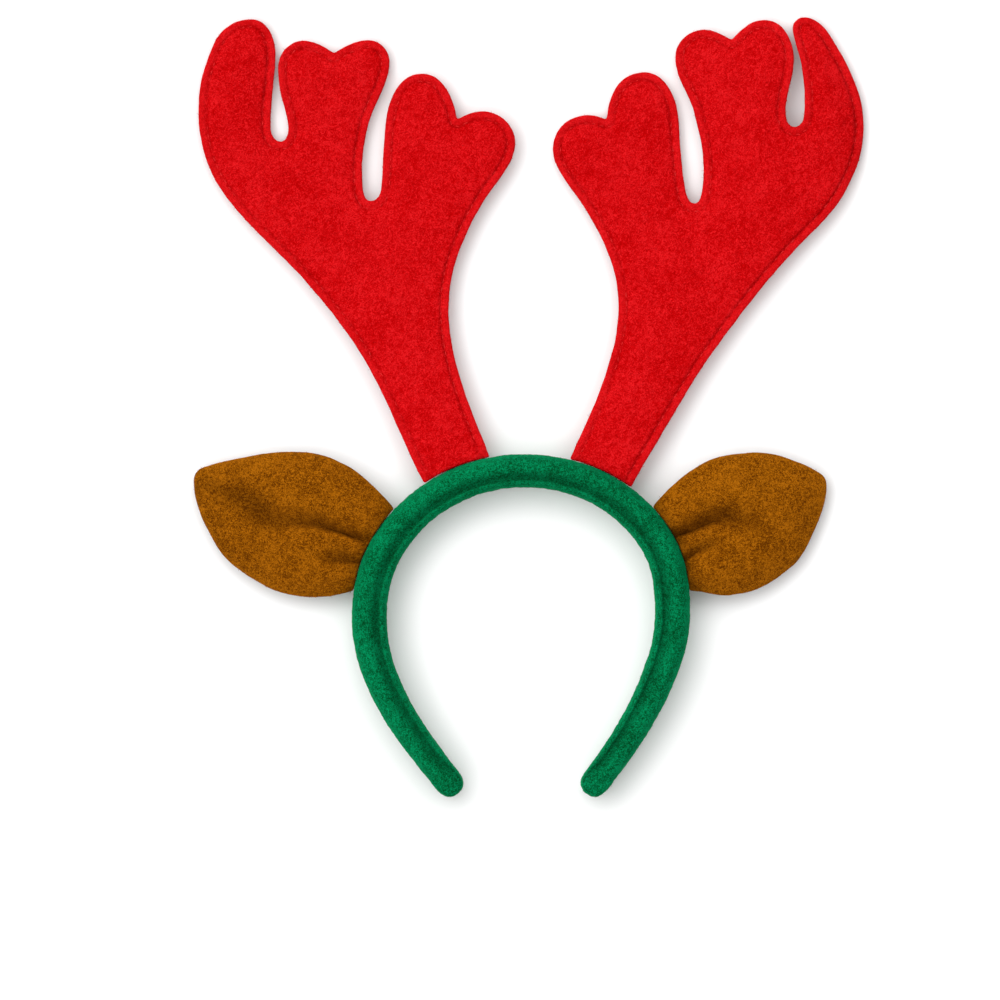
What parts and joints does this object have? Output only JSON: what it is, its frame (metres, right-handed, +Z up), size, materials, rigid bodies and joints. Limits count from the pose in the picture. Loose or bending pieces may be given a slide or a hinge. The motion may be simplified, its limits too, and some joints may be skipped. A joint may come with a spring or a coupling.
{
  "type": "reindeer antler headband",
  "caption": "Padded felt headband, open below, with two stuffed felt antlers and two folded felt ears sewn to its crown and sides, lying on its back.",
  "frame": {"origin": "on the table, under the middle of the headband's overall box", "axes": "+X across the band towards the right antler as seen from above, +Y from the band's open end towards the antlers' tips, +Z up, out of the front of the antlers"},
  "size_m": [0.2978, 0.3468, 0.02],
  "materials": {
    "red_felt": "soft short-fibred scarlet felt, matt, with a fine nap",
    "green_felt": "soft short-fibred emerald felt, matt, a little fuzzy along its seams",
    "brown_felt": "soft short-fibred ochre brown felt, matt"
  },
  "bodies": {
    "root": {"band_outer": "green_felt", "band_inner": "green_felt", "antler_left_front": "red_felt", "antler_left_back": "red_felt", "antler_right_front": "red_felt", "antler_right_back": "red_felt", "ear_left": "brown_felt", "ear_right": "brown_felt"}
  },
  "joints": []
}
